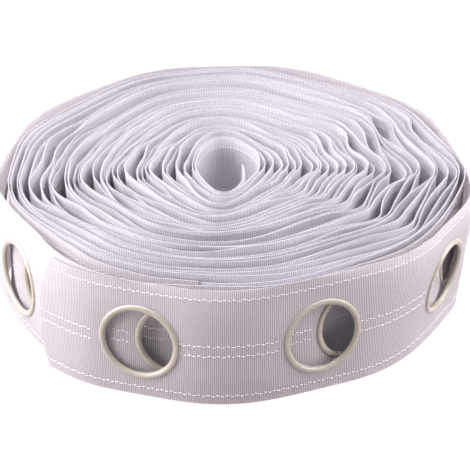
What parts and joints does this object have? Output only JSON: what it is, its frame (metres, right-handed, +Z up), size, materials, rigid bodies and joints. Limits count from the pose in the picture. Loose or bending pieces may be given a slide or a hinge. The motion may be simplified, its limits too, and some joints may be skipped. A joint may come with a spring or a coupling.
{
  "type": "roll of curtain heading tape",
  "caption": "Loose roll of white woven curtain heading tape standing on its edge, with wide moulded eyelets set along the middle of the tape.",
  "frame": {"origin": "centre of the bounding box on the surface that the roll stands on", "axes": "+Z up across the tape's width, -Y towards the front where the free end lies at the left, +X to the right of the front"},
  "size_m": [0.3924, 0.4068, 0.106],
  "materials": {
    "tape": "matte woven, fine cross ribs",
    "eyelet": "satin moulded, ivory"
  },
  "bodies": {
    "root": {"wound_roll": "tape", "outer_turn": "tape", "second_turn": "tape", "eyelet_1": "eyelet", "eyelet_2": "eyelet", "eyelet_3": "eyelet", "eyelet_4": "eyelet", "eyelet_5": "eyelet", "eyelet_6": "eyelet", "eyelet_7": "eyelet", "eyelet_8": "eyelet", "eyelet_9": "eyelet", "second_eyelet_1": "eyelet", "second_eyelet_2": "eyelet", "second_eyelet_3": "eyelet", "second_eyelet_4": "eyelet", "second_eyelet_5": "eyelet", "second_eyelet_6": "eyelet", "second_eyelet_7": "eyelet", "second_eyelet_8": "eyelet", "second_eyelet_9": "eyelet"}
  },
  "joints": []
}
